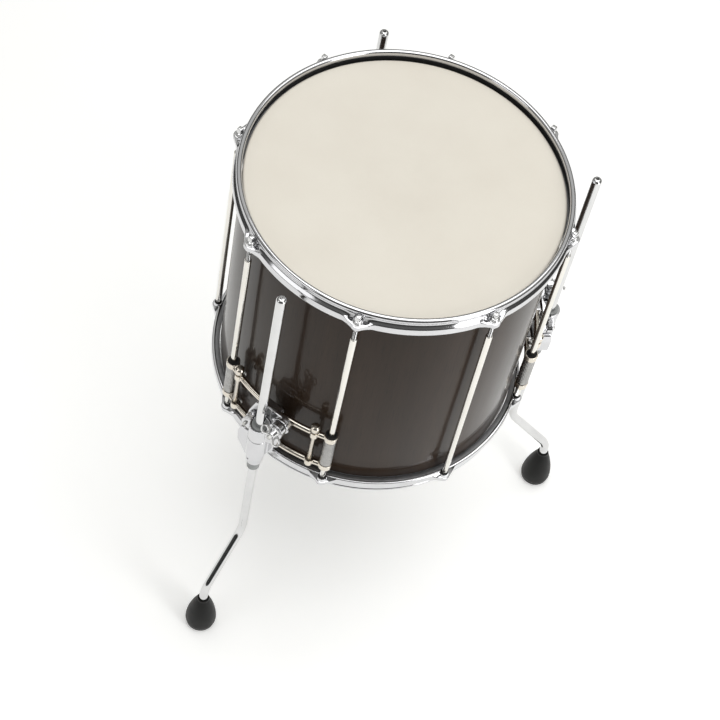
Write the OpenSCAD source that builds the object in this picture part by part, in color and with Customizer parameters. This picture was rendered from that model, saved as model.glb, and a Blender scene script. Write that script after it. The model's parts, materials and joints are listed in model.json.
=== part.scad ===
// Floor tom: a deep wooden drum with two heads, held between two cast hoops by eight full-length tubes.
// It stands on three bent legs, clamped in brackets that hang on short rails between the tubes.
// Frame: +Z up, origin on the floor under the drum's axis. Leg 1 points along -Y. All sizes in mm.

/* [Shell] */
// Outside diameter of the shell
shell_d = 403; // [398:1:408]
// Wall thickness of the shell
shell_wall = 7; // [5:0.5:8]
// Depth of the shell from edge to edge
shell_depth = 381; // [370:1:392]
// Height of the upper head above the floor
head_height = 740; // [730:1:750]
// Thickness of a drum head's film
film_t = 0.4; // [0.3:0.1:0.6]
// Height of the air hole, from the shell's middle
vent_rise = 0; // [-60:1:60]

/* [Hoops] */
// Height of a hoop's bead beyond its head
hoop_rise = 13; // [11:0.5:15]
// Reach of a hoop's skirt past its head
hoop_skirt = 12.8; // [12.6:0.1:12.9]
// Distance from the shell's face to the circle of rods
rod_offset = 13.5; // [13:0.5:14.5]
// Height of an ear
ear_h = 11; // [11:0.1:11.5]
// Radius of an ear's round end
ear_r = 8; // [7.6:0.1:9]

/* [Rods and tubes] */
// Outside diameter of a tension tube
tube_d = 8.5; // [8:0.1:9]
// Diameter of a tension rod's thread
rod_d = 5.5; // [5.2:0.1:5.8]
// Length of thread that shows between ear and tube
thread_gap = 23; // [18:1:30]
// Width of a rod's square head
square_w = 6.3; // [5.8:0.1:6.6]

/* [Rails] */
// Height of the upper rail above the floor
upper_rail_z = 473.5; // [470:0.5:478]
// Height of the lower rail above the floor
lower_rail_z = 405.5; // [402:0.5:410]
// Diameter of a rail's bar
rail_d = 7.8; // [7:0.1:7.9]
// Radius of a rail's bend
rail_r = 217; // [216.5:0.5:217.5]
// Angle from a bracket to each of its posts
post_angle = 16.8; // [15:0.1:17]

/* [Legs] */
// Directions of the legs around the drum
leg_angles = [-90, 45, 135];
// Diameter of a leg
leg_d = 12.7; // [12:0.1:13]
// Distance from the drum's axis to a leg
leg_r = 241; // [240:0.5:242]
// Distance from the drum's axis to a foot
foot_r = 312; // [300:1:320]
// Height of a leg's upper end
leg_top_z = 750; // [700:5:760]
// Height of a leg's upper bend
upper_bend_z = 184; // [176:1:190]
// Height of a leg's lower bend
lower_bend_z = 95; // [88:1:100]
// Radius of a leg's bends
bend_r = 42; // [30:1:48]
// Height of a rubber foot
foot_h = 72; // [60:1:73]
// Widest radius of a rubber foot
foot_max_r = 22; // [20:0.5:24]

/* [Hidden] */
$fn = 96;
eps = 0.05; // running clearance of a shaft in its hole
shell_r = shell_d / 2;
rod_r = shell_r + rod_offset;
rod_count = 8;
rod_step = 360 / rod_count;
first_rod = -67.5;
batter_z = head_height;
resonant_z = head_height - shell_depth;
mid_z = (batter_z + resonant_z) / 2;
vent_z = mid_z + vent_rise;
vent_angle = 180;
vent_hole_r = 6;

// Hoop section, measured from the head's plane
hoop_in_r = shell_r + 1.5;
bead_w = 7.2;
seat_h = 6; // depth of the flesh hoop's upper face under the head
flesh_h = 6;
skirt_in_r = hoop_in_r + 6.2;
skirt_out_r = hoop_in_r + 10;
ear_top = 2; // depth of an ear's upper face under the head
ear_hole_r = rod_d / 2 + 0.55;

// Rods and tubes, as heights above the upper head's plane or above the floor
rod_shank_r = rod_d / 2;
tube_bore_r = rod_shank_r + eps;
washer_t = 1.2;
tube_top_z = batter_z - ear_top - ear_h - thread_gap;
foot_washer_t = 1.6;
foot_washer_r = 5;
tube_foot_z = resonant_z + ear_top + ear_h + foot_washer_t;
rod_end_z = batter_z - 100;

// Eyelets, grommets and sleeves around the tubes
tube_r = tube_d / 2;
grommet_r = tube_r + 2.2;
eyelet_in_r = grommet_r + eps;
eyelet_r = eyelet_in_r + 2.5;
eyelet_h = 9.4;
grommet_flange_t = 1.2;
grommet_flange_r = eyelet_r - 1.4;
sleeve_r = 8.2;
post_r = 3.5;
post_ring_r = rail_r + 2;
post_boss_r = 5.6;
post_boss_h = 10;
post_cap_r = 6;
post_top_z = upper_rail_z + 20;

// Leg bracket, in its own directions: outward from the drum, sideways, and up
leg_rad = leg_d / 2;
liner_in_r = leg_rad + eps;
liner_r = 8.6;
barrel_bore_r = liner_r + eps;
barrel_r = 13.5;
barrel_z0 = resonant_z + 17;
barrel_z1 = barrel_z0 + 59;
barrel_nose_r = 11.2; // radius of the barrel's tapered lower end
barrel_nose_h = 20;
jaw_z0 = barrel_z1 + 1;
jaw_z1 = jaw_z0 + 26;
split_r = leg_r - 2; // plane between the bracket's half and the jaw's half
split_gap = 1;
plate_r0 = 223;
plate_r1 = 229;
lug_r1 = 234; // outer face of the bracket's lugs
jaw_r0 = lug_r1 + split_gap;
jaw_r1 = jaw_r0 + 8.5;
side_gap = barrel_r + 0.7;
bolt_r = 3;
bolt_side = 26;
bolt_z = upper_rail_z + 6.5;
bolt_lug_r = 11;
pin_r = 2.5;
pin_side = -21;
pin_z = jaw_z0 + 10;
pin_lug_r = 7;
saddle_h = 14;
saddle_w = 28;
flange_r = 10.5;
flange_t = 2.2;
wing_turn = 57; // tilt of the wings about the bolt

// Feet
foot_lip = 1.8; // thickness of a foot's rubber at its mouth
foot_fullness = 1.7; // 1 gives straight sides, more gives rounder ones

NUMBERED_BY_ROD = ["tension_tube_", "tension_rod_"];
NUMBERED_BY_LEG = [
    "upper_rail_", "lower_rail_", "bracket_body_", "clamp_jaw_", "wing_nut_", "leg_liner_", "leg_", "foot_"
];

// ---- Helpers ----

function unit(v) = v / norm(v);

// The arc that rounds corner i of outline p
function corner(p, i, r, n) =
    let (
        b = p[i],
        u = unit(p[(i + len(p) - 1) % len(p)] - b),
        w = unit(p[(i + 1) % len(p)] - b),
        half = acos(u * w) / 2,
        o = b + unit(u + w) * r / sin(half),
        start = b + u * r / tan(half) - o,
        end = b + w * r / tan(half) - o
    )
    [for (k = [0:n]) o + r * unit(start * (1 - k / n) + end * (k / n))];

// Outline p with every corner rounded by its own radius
function rounded(p, radii, n = 6) = [for (i = [0:len(p) - 1]) each corner(p, i, radii[i], n)];

function rod_angle(i) = first_rod + rod_step * (i - 1);

module at_rod(i) {
    rotate([0, 0, rod_angle(i)]) translate([rod_r, 0, 0]) children();
}

module at_leg(i) {
    rotate([0, 0, leg_angles[i - 1]]) children();
}

// The six tubes that carry rails: half a step to each side of every leg
module at_rail_tubes() {
    for (i = [1:len(leg_angles)], side = [-1, 1])
        rotate([0, 0, leg_angles[i - 1] + side * rod_step / 2]) translate([rod_r, 0, 0]) children();
}

module at_posts(i) {
    for (side = [-1, 1])
        rotate([0, 0, leg_angles[i - 1] + side * post_angle]) children();
}

// Extrudes a sideways-and-up outline outward, from distance r0 to r1
module outward(r0, r1) {
    translate([r0, 0, 0]) rotate([90, 0, 90]) linear_extrude(r1 - r0) children();
}

// A cylinder along the outward direction
module outward_rod(r0, r1, radius, side = 0, z = 0) {
    translate([r0, side, z]) rotate([0, 90, 0]) cylinder(h = r1 - r0, r = radius);
}

module ring(r_out, r_in, h) {
    difference() {
        cylinder(h = h, r = r_out);
        translate([0, 0, -1]) cylinder(h = h + 2, r = r_in);
    }
}

// Puts a hoop or head piece on the upper head, or its mirror image on the lower one
module on_batter() {
    translate([0, 0, batter_z]) children();
}

module on_resonant() {
    translate([0, 0, resonant_z]) mirror([0, 0, 1]) children();
}

// ---- Shell and heads ----

module shell() {
    edge = 2.5; // inner chamfer of the bearing edges
    color([0.16, 0.12, 0.10]) difference() {
        translate([0, 0, resonant_z]) cylinder(h = shell_depth, r = shell_r);
        translate([0, 0, resonant_z - 1]) cylinder(h = shell_depth + 2, r = shell_r - shell_wall);
        for (m = [0, 1])
            translate([0, 0, mid_z]) mirror([0, 0, m]) translate([0, 0, shell_depth / 2 - edge])
                cylinder(h = edge + 0.01, r1 = shell_r - shell_wall, r2 = shell_r - shell_wall + edge);
        rotate([0, 0, vent_angle]) outward_rod(shell_r - 20, shell_r + 10, vent_hole_r, 0, vent_z);
    }
}

module badge_plate() {
    plate_w = 44;
    plate_h = 58;
    plate_t = 1;
    color([0.75, 0.74, 0.70]) rotate([0, 0, vent_angle]) difference() {
        intersection() {
            translate([0, 0, vent_z - plate_h])
                ring(shell_r + 0.05 + plate_t, shell_r + 0.05, 2 * plate_h);
            outward(shell_r - 10, shell_r + 10)
                translate([0, vent_z]) union() {
                    translate([0, (plate_h - plate_w) / 2]) circle(r = plate_w / 2);
                    translate([0, -(plate_h - plate_w) / 2]) circle(r = plate_w / 2);
                    square([plate_w, plate_h - plate_w], center = true);
                }
        }
        outward_rod(shell_r - 12, shell_r + 12, vent_hole_r, 0, vent_z);
    }
}

module vent_grommet() {
    color([0.80, 0.80, 0.78]) rotate([0, 0, vent_angle]) difference() {
        union() {
            outward_rod(shell_r - 8.8, shell_r + 2.4, vent_hole_r - 0.1, 0, vent_z);
            outward_rod(shell_r + 1.2, shell_r + 2.4, 9, 0, vent_z);
            outward_rod(shell_r - 8.8, shell_r - 7.3, 8.4, 0, vent_z);
        }
        outward_rod(shell_r - 12, shell_r + 12, 4.5, 0, vent_z);
    }
}

module film() {
    cylinder(h = film_t, r = hoop_in_r - 0.8);
}

module batter_film() {
    color([0.91, 0.88, 0.82]) on_batter() film();
}

module resonant_film() {
    color([0.85, 0.88, 0.90, 0.5]) on_resonant() film();
}

// Metal ring with the film's turned-down edge crimped in it
module flesh_hoop() {
    collar_r = hoop_in_r - 1.25;
    rotate_extrude() union() {
        translate([collar_r, -seat_h - flesh_h - 0.4]) square([0.45, seat_h + flesh_h + 0.4]);
        translate([collar_r + 0.4, -seat_h - flesh_h]) square([hoop_in_r + 5.9 - collar_r - 0.4, flesh_h]);
    }
}

module batter_flesh_hoop() {
    color([0.70, 0.71, 0.72]) on_batter() flesh_hoop();
}

module resonant_flesh_hoop() {
    color([0.70, 0.71, 0.72]) on_resonant() flesh_hoop();
}

// ---- Cast hoops ----

module hoop_section() {
    bead_r = bead_w / 2;
    translate([hoop_in_r + bead_r, hoop_rise - bead_r]) circle(r = bead_r);
    polygon([
        [hoop_in_r, -seat_h],
        [skirt_in_r, -seat_h],
        [skirt_in_r, -hoop_skirt],
        [skirt_out_r - 1.2, -hoop_skirt],
        [skirt_out_r, -hoop_skirt + 1.2],
        [skirt_out_r, -1],
        [hoop_in_r + bead_w, 3],
        [hoop_in_r + bead_w, hoop_rise - bead_r],
        [hoop_in_r, hoop_rise - bead_r]
    ]);
}

module ear_outline() {
    root_w = 24; // half the ear's width at its root
    side = 50; // where the round end meets the straight sides
    tip = rod_r + ear_r * cos(side);
    translate([rod_r, 0]) circle(r = ear_r);
    polygon([
        [skirt_in_r + 0.4, -root_w],
        [tip, -ear_r * sin(side)],
        [tip, ear_r * sin(side)],
        [skirt_in_r + 0.4, root_w]
    ]);
}

// One ear with its rounded boss, cut back to lie inside the skirt's wall
module ear() {
    under = 3.5; // height of the boss under an ear
    difference() {
        union() {
            translate([0, 0, -ear_top - ear_h + under]) linear_extrude(ear_h - under) ear_outline();
            translate([rod_r, 0, -ear_top - ear_h]) cylinder(h = under, r1 = ear_r - 2, r2 = ear_r - 1);
        }
        translate([0, 0, -ear_top - ear_h - 1]) cylinder(h = ear_h + 2, r = skirt_in_r + 1);
    }
}

module hoop() {
    pocket_r = 7.2; // room around a rod's washer and collar, cut into the wall
    pocket_top = 4.5;
    difference() {
        union() {
            rotate_extrude() hoop_section();
            for (i = [1:rod_count]) rotate([0, 0, rod_angle(i)]) ear();
        }
        for (i = [1:rod_count]) at_rod(i) {
            translate([0, 0, -ear_top - ear_h - 1]) cylinder(h = ear_h + 2, r = ear_hole_r);
            translate([0, 0, -ear_top]) cylinder(h = ear_top + pocket_top, r = pocket_r);
        }
    }
}

module batter_hoop() {
    color([0.86, 0.86, 0.85]) on_batter() hoop();
}

module resonant_hoop() {
    color([0.86, 0.86, 0.85]) on_resonant() hoop();
}

// ---- Tension rods and tubes ----

module rod_washers() {
    color([0.82, 0.82, 0.80]) for (i = [1:rod_count])
        at_rod(i) translate([0, 0, batter_z - ear_top]) ring(6.8, rod_shank_r + 0.3, washer_t);
}

module tension_rod(i) {
    collar_z = batter_z - ear_top + washer_t + 0.05;
    head_top_z = batter_z + hoop_rise - 2;
    color([0.84, 0.84, 0.83]) at_rod(i) union() {
        translate([0, 0, rod_end_z]) cylinder(h = collar_z - rod_end_z, r = rod_shank_r);
        translate([0, 0, collar_z]) cylinder(h = 1.8, r1 = 6.1, r2 = 5.7);
        translate([0, 0, collar_z + 1.8]) cylinder(h = 1.6, r1 = 5.2, r2 = 4.6);
        intersection() {
            translate([-square_w / 2, -square_w / 2, collar_z + 3]) cube([square_w, square_w, head_top_z - collar_z - 3]);
            translate([0, 0, collar_z]) cylinder(h = head_top_z - collar_z - 1, r = square_w);
        }
        translate([0, 0, head_top_z - 1]) intersection() {
            translate([-square_w / 2, -square_w / 2, 0]) cube([square_w, square_w, 1]);
            cylinder(h = 1, r1 = square_w * 0.68, r2 = square_w * 0.5);
        }
    }
}

module tension_tube(i) {
    chamfer = 0.6;
    color([0.86, 0.86, 0.85]) at_rod(i) difference() {
        union() {
            translate([0, 0, tube_foot_z + chamfer])
                cylinder(h = tube_top_z - tube_foot_z - 2 * chamfer, r = tube_r);
            translate([0, 0, tube_top_z - chamfer]) cylinder(h = chamfer, r1 = tube_r, r2 = tube_r - chamfer);
            translate([0, 0, tube_foot_z]) cylinder(h = chamfer, r1 = tube_r - chamfer, r2 = tube_r);
        }
        translate([0, 0, tube_foot_z - 1]) cylinder(h = tube_top_z - tube_foot_z + 2, r = tube_bore_r);
    }
}

module tube_foot_washers() {
    color([0.05, 0.05, 0.05]) for (i = [1:rod_count])
        at_rod(i) translate([0, 0, tube_foot_z - foot_washer_t]) ring(foot_washer_r, rod_shank_r + 0.3, foot_washer_t);
}

module tube_foot_screws() {
    head_h = 3.8;
    shank_l = 42;
    color([0.70, 0.70, 0.70]) for (i = [1:rod_count]) at_rod(i) difference() {
        union() {
            translate([0, 0, resonant_z + ear_top - head_h]) cylinder(h = head_h, r1 = 5.2, r2 = 5.8);
            translate([0, 0, resonant_z + ear_top]) cylinder(h = shank_l, r = rod_shank_r);
        }
        translate([0, 0, resonant_z + ear_top - head_h - 1]) cylinder(h = 3.2, r = 2.3, $fn = 6);
    }
}

// ---- Rails ----

module rail_eyelets() {
    for (side = [-1, 1]) rotate([0, 0, side * rod_step / 2]) translate([rod_r, 0, -eyelet_h / 2]) children();
}

module rail_bar(radius) {
    bar_span = rod_step - 1;
    rotate([0, 0, -bar_span / 2]) rotate_extrude(angle = bar_span) translate([rail_r, 0]) circle(r = radius);
}

// A bent bar with an eyelet round each tube and a screw pad behind each post
module rail() {
    pad_r = 4.6;
    difference() {
        union() {
            rail_bar(rail_d / 2);
            rail_eyelets() cylinder(h = eyelet_h, r = eyelet_r);
            for (side = [-1, 1]) rotate([0, 0, side * post_angle]) {
                translate([post_ring_r, 0, -post_boss_h / 2]) cylinder(h = post_boss_h, r = post_boss_r);
                outward_rod(rail_r - 5, post_ring_r, pad_r);
            }
        }
        rail_eyelets() translate([0, 0, -1]) cylinder(h = eyelet_h + 2, r = eyelet_in_r);
        for (side = [-1, 1]) rotate([0, 0, side * post_angle]) {
            translate([post_ring_r, 0, -3]) cylinder(h = 20, r = post_r + eps);
            outward_rod(rail_r - 6, post_ring_r - 3, 1.55);
        }
    }
}

module upper_rail(i) {
    color([0.80, 0.79, 0.77]) at_leg(i) translate([0, 0, upper_rail_z]) difference() {
        rail();
        for (side = [-1, 1]) rotate([0, 0, side * post_angle])
            translate([post_ring_r, 0, -10]) cylinder(h = 20, r = post_r + eps);
    }
}

module lower_rail(i) {
    color([0.80, 0.79, 0.77]) at_leg(i) translate([0, 0, lower_rail_z]) rail();
}

// Six posts, each with a round cap above the upper rail
module rail_posts() {
    foot_z = lower_rail_z - 3;
    cap_h = 10;
    chamfer = 2;
    color([0.82, 0.82, 0.80]) for (i = [1:len(leg_angles)]) at_posts(i) translate([post_ring_r, 0, 0]) union() {
        translate([0, 0, foot_z]) cylinder(h = post_top_z - 1 - foot_z, r = post_r);
        translate([0, 0, post_top_z - cap_h]) cylinder(h = cap_h - chamfer, r = post_cap_r);
        translate([0, 0, post_top_z - chamfer]) cylinder(h = chamfer, r1 = post_cap_r, r2 = post_cap_r - chamfer);
    }
}

module rail_screws() {
    head_r = 3.8;
    color([0.75, 0.75, 0.74]) for (i = [1:len(leg_angles)], z = [lower_rail_z, upper_rail_z]) at_posts(i) {
        outward_rod(rail_r - 8, rail_r - 5, head_r, 0, z);
        outward_rod(rail_r - 5, rail_r - 2, 1.5, 0, z);
    }
}

module rod_grommets() {
    color([0.06, 0.06, 0.06]) for (z = [lower_rail_z, upper_rail_z]) at_rail_tubes() difference() {
        union() {
            translate([0, 0, z - eyelet_h / 2]) cylinder(h = eyelet_h, r = grommet_r);
            for (top = [z - eyelet_h / 2 - grommet_flange_t, z + eyelet_h / 2])
                translate([0, 0, top]) cylinder(h = grommet_flange_t, r = grommet_flange_r);
        }
        translate([0, 0, z - eyelet_h]) cylinder(h = 2 * eyelet_h, r = tube_r + eps);
    }
}

module rod_sleeves() {
    reach = eyelet_h / 2 + grommet_flange_t;
    color([0.84, 0.84, 0.83]) at_rail_tubes() translate([0, 0, lower_rail_z + reach])
        ring(sleeve_r, tube_r + eps, upper_rail_z - lower_rail_z - 2 * reach);
}

// ---- Leg brackets ----

// Back plate: from the bolt's lug, past both saddles, to the barrel
module plate_outline() {
    polygon(rounded(
        [
            [-17, lower_rail_z - 9], [17, lower_rail_z - 9], [19, lower_rail_z + 30],
            [bolt_side + bolt_lug_r - 1, bolt_z - 12], [bolt_side + bolt_lug_r - 1, bolt_z + bolt_lug_r],
            [bolt_side - 14, bolt_z + bolt_lug_r], [-19, upper_rail_z + 8],
            [-28, pin_z + 7], [-28, pin_z - 9]
        ],
        [4, 4, 20, 8, 9, 12, 6, 6, 8]
    ));
}

// Cast shoulder on the clamp's plain side, under the jaw's pin
module shoulder_outline() {
    polygon(rounded(
        [
            [-5, barrel_z0 + 3], [-12, barrel_z0 + 1], [-20, barrel_z0 + 13], [-29, barrel_z0 + 26],
            [-30, barrel_z0 + 46], [-26, barrel_z1], [-5, barrel_z1]
        ],
        [1, 5, 10, 8, 6, 4, 1]
    ));
}

// Rib on the clamp's bolt side, from the barrel up to the lug
module rib_outline() {
    polygon(rounded(
        [
            [5, barrel_z0 + 14], [13, barrel_z0 + 18], [20, barrel_z0 + 38], [27, barrel_z0 + 64],
            [bolt_side + 8, bolt_z - 6], [5, bolt_z - 6]
        ],
        [2, 6, 12, 12, 4, 2]
    ));
}

module bracket_body(i) {
    recess_r = 3; // round recess in the barrel's face
    color([0.83, 0.83, 0.82]) at_leg(i) difference() {
        union() {
            translate([leg_r, 0, barrel_z0]) cylinder(h = barrel_nose_h, r1 = barrel_nose_r, r2 = barrel_r);
            translate([leg_r, 0, barrel_z0 + barrel_nose_h])
                cylinder(h = barrel_z1 - barrel_z0 - barrel_nose_h, r = barrel_r);
            intersection() {
                translate([leg_r, 0, barrel_z1]) cylinder(h = jaw_z1 - barrel_z1, r = barrel_r);
                translate([plate_r0, -barrel_r - 1, barrel_z1])
                    cube([split_r - split_gap / 2 - plate_r0, 2 * barrel_r + 2, jaw_z1 - barrel_z1]);
            }
            outward(plate_r0, plate_r1) plate_outline();
            outward(plate_r1, leg_r + 4) shoulder_outline();
            outward(plate_r1, lug_r1) rib_outline();
            outward_rod(plate_r0, lug_r1, bolt_lug_r, bolt_side, bolt_z);
            outward_rod(plate_r0, lug_r1, pin_lug_r, pin_side, pin_z);
            for (z = [lower_rail_z, upper_rail_z])
                translate([rail_r - 6, -saddle_w / 2, z - saddle_h / 2])
                    cube([plate_r0 - rail_r + 7, saddle_w, saddle_h]);
        }
        for (z = [lower_rail_z, upper_rail_z]) translate([0, 0, z]) rail_bar(rail_d / 2 + eps);
        translate([leg_r, 0, barrel_z0 - 1]) cylinder(h = jaw_z1 - barrel_z0 + 40, r = barrel_bore_r);
        translate([leg_r, 0, jaw_z1]) cylinder(h = 60, r = barrel_r + 0.5);
        outward_rod(plate_r0 - 1, lug_r1 + 1, bolt_r + eps, bolt_side, bolt_z);
        outward_rod(plate_r0 - 1, lug_r1 + 1, pin_r + eps, pin_side, pin_z);
        outward_rod(leg_r + 10, leg_r + 16, recess_r, -4, barrel_z0 + 12);
    }
}

// Outline of the jaw's flat, from the bolt's lug to the guide pin's lug
module jaw_outline() {
    polygon(rounded(
        [
            [-side_gap, jaw_z0 + 1], [side_gap, jaw_z0 + 1], [bolt_side + 3, jaw_z0 + 12],
            [bolt_side + bolt_lug_r - 1, bolt_z - 6], [bolt_side + 5, bolt_z + bolt_lug_r - 3],
            [bolt_side - 5, bolt_z + bolt_lug_r - 3], [side_gap, jaw_z1], [-side_gap, jaw_z1],
            [-25, pin_z + 6], [-25, pin_z - 6]
        ],
        [2, 2, 10, 6, 5, 5, 8, 3, 4, 4]
    ));
    translate([bolt_side, bolt_z]) circle(r = bolt_lug_r - 0.5);
    translate([pin_side, pin_z]) circle(r = pin_lug_r - 0.5);
}

module clamp_jaw(i) {
    half_r0 = split_r + split_gap / 2;
    color([0.84, 0.84, 0.83]) at_leg(i) difference() {
        union() {
            outward(jaw_r0, jaw_r1) jaw_outline();
            translate([leg_r, 0, jaw_z0]) cylinder(h = jaw_z1 - jaw_z0, r = barrel_r);
        }
        translate([jaw_r0 - 20, -side_gap, jaw_z0 - 5])
            cube([half_r0 - jaw_r0 + 20, 2 * side_gap, jaw_z1 - jaw_z0 + 40]);
        translate([leg_r, 0, jaw_z0 - 5]) cylinder(h = jaw_z1 - jaw_z0 + 10, r = liner_r + 0.3);
        translate([leg_r, 0, jaw_z1]) cylinder(h = 60, r = barrel_r + 0.5);
        outward_rod(jaw_r0 - 1, jaw_r1 + 1, bolt_r + eps, bolt_side, bolt_z);
        outward_rod(jaw_r0 - 1, jaw_r1 + 1, pin_r + eps, pin_side, pin_z);
    }
}

module clamp_bolts() {
    color([0.72, 0.72, 0.71]) for (i = [1:len(leg_angles)]) at_leg(i) {
        outward_rod(plate_r0, jaw_r1 + 15, bolt_r, bolt_side, bolt_z);
        translate([plate_r0 - 2.2, bolt_side, bolt_z]) rotate([0, 90, 0]) cylinder(h = 2.2, r = 5, $fn = 6);
    }
}

module jaw_pins() {
    color([0.72, 0.72, 0.71]) for (i = [1:len(leg_angles)]) at_leg(i) {
        outward_rod(plate_r0, jaw_r1 + 3, pin_r, pin_side, pin_z);
        outward_rod(plate_r0 - 1.5, plate_r0, pin_r + 1.5, pin_side, pin_z);
    }
}

// One loop of the wing nut, in the plane of its axis
module wing_loop() {
    loop_side = 11;
    loop_up = 9.6;
    rotate([90, 0, 0]) translate([0, 0, -1.6]) linear_extrude(3.2) difference() {
        union() {
            translate([loop_side, loop_up]) circle(r = 6.4);
            polygon([[0, 1.6], [7, 2], [13.4, 4], [6.8, 14.4], [0, 10]]);
        }
        translate([loop_side + 0.5, loop_up + 0.4]) circle(r = 3.9);
    }
}

module wing_nut(i) {
    hub_h = 10.5;
    color([0.86, 0.86, 0.85]) at_leg(i)
        translate([jaw_r1 + 0.1, bolt_side, bolt_z]) rotate([wing_turn, 0, 0]) rotate([0, 90, 0]) difference() {
            union() {
                cylinder(h = hub_h, r1 = 6.8, r2 = 5.2);
                cylinder(h = 1.3, r = 7.8);
                wing_loop();
                mirror([1, 0, 0]) wing_loop();
            }
            translate([0, 0, -1]) cylinder(h = hub_h + 12, r = bolt_r + eps);
        }
}

module leg_liner(i) {
    flange_gap = 0.3;
    top_z = jaw_z1 + flange_gap;
    foot_z = barrel_z0 - flange_gap;
    tail_h = 16; // length of sleeve below the barrel
    color([0.55, 0.56, 0.55]) at_leg(i) translate([leg_r, 0, 0]) difference() {
        union() {
            translate([0, 0, foot_z - tail_h]) cylinder(h = top_z - foot_z + tail_h, r = liner_r);
            translate([0, 0, top_z]) cylinder(h = flange_t, r = flange_r);
            translate([0, 0, foot_z - flange_t]) cylinder(h = flange_t, r = flange_r);
        }
        translate([0, 0, foot_z - tail_h - 1]) cylinder(h = top_z - foot_z + tail_h + 10, r = liner_in_r);
    }
}

// ---- Legs ----

// A bend of the given angle in the outward-and-up plane, starting level with its centre
module elbow(angle) {
    skin = 0.02; // the bend's tube is this much fatter, and takes in the ends of the straight lengths
    rotate([90, 0, 0]) rotate_extrude(angle = angle) translate([bend_r, 0]) circle(r = leg_rad + skin);
}

module leg(i) {
    lean = atan((foot_r - leg_r) / (upper_bend_z - lower_bend_z));
    tangent = bend_r * tan(lean / 2);
    reach = norm([foot_r - leg_r, upper_bend_z - lower_bend_z]);
    straight_z = upper_bend_z + tangent;
    end_z = lower_bend_z - tangent;
    bottom_z = 13;
    lap = 0.4; // length of each straight end inside a bend
    color([0.87, 0.87, 0.86]) at_leg(i) union() {
        translate([leg_r, 0, straight_z - lap]) cylinder(h = leg_top_z - 1.5 - straight_z + lap, r = leg_rad);
        translate([leg_r, 0, leg_top_z - 1.5]) cylinder(h = 1.5, r1 = leg_rad, r2 = leg_rad - 1.5);
        translate([leg_r + bend_r, 0, straight_z]) rotate([0, 180, 0]) elbow(lean);
        translate([leg_r, 0, upper_bend_z]) rotate([0, 180 - lean, 0]) translate([0, 0, tangent - lap])
            cylinder(h = reach - 2 * tangent + 2 * lap, r = leg_rad);
        translate([foot_r - bend_r, 0, end_z]) elbow(lean);
        translate([foot_r, 0, bottom_z]) cylinder(h = end_z - bottom_z + lap, r = leg_rad);
    }
}

// Pear-shaped side of a foot: widest low down, drawn in to a narrow mouth
function foot_side_r(t) = foot_max_r - (foot_max_r - leg_rad - foot_lip) * pow(t, foot_fullness);

module foot(i) {
    rings = 10;
    belly_z = 12;
    socket_z = 12.5;
    color([0.05, 0.05, 0.05]) at_leg(i) translate([foot_r, 0, 0]) difference() {
        rotate_extrude() polygon(concat(
            [[0, 0], [foot_max_r - 6, 0], [foot_max_r - 2, 2.5]],
            [for (k = [0:rings]) [foot_side_r(k / rings), belly_z + (foot_h - belly_z) * k / rings]],
            [[0, foot_h]]
        ));
        translate([0, 0, socket_z]) cylinder(h = foot_h, r = leg_rad + eps);
    }
}

// ---- The assembly ----

shell();
vent_grommet();
badge_plate();
batter_film();
batter_flesh_hoop();
batter_hoop();
resonant_film();
resonant_flesh_hoop();
resonant_hoop();
rod_washers();
tube_foot_washers();
tube_foot_screws();
rod_grommets();
rod_sleeves();
rail_posts();
rail_screws();
clamp_bolts();
jaw_pins();
for (i = [1:rod_count]) {
    tension_tube(i);
    tension_rod(i);
}
for (i = [1:len(leg_angles)]) {
    upper_rail(i);
    lower_rail(i);
    bracket_body(i);
    clamp_jaw(i);
    wing_nut(i);
    leg_liner(i);
    leg(i);
    foot(i);
}
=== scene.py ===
import json
import math

import bmesh
import bpy
from mathutils import Matrix, Vector

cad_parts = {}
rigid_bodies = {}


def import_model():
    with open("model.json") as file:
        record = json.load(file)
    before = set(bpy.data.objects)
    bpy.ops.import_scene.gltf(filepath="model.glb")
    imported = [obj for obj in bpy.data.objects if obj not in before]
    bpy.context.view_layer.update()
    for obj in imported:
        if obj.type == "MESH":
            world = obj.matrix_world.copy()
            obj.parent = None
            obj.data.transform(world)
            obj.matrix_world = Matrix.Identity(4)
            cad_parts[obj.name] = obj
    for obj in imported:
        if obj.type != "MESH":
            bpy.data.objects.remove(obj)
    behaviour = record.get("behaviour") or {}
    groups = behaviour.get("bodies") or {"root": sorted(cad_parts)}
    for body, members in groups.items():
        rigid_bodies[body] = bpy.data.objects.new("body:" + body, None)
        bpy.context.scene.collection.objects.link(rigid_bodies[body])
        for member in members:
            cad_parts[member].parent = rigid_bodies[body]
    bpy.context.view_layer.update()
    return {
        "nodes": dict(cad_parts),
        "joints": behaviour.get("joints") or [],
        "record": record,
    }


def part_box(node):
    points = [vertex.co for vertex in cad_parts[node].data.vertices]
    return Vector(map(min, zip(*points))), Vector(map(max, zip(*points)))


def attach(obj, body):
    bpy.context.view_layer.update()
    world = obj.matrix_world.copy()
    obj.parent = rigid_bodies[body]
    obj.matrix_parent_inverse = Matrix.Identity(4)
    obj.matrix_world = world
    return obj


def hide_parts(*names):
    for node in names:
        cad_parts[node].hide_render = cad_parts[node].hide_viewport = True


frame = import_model()
NODES = frame["nodes"]
JOINTS = {j["name"]: j for j in frame["joints"]}

MM = 0.001
TAU = 2 * math.pi
PLY_THICKNESS = 1.4


# ---------------------------------------------------------------- places, read from the frame
def low(node):
    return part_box(node)[0]


def high(node):
    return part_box(node)[1]


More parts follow.
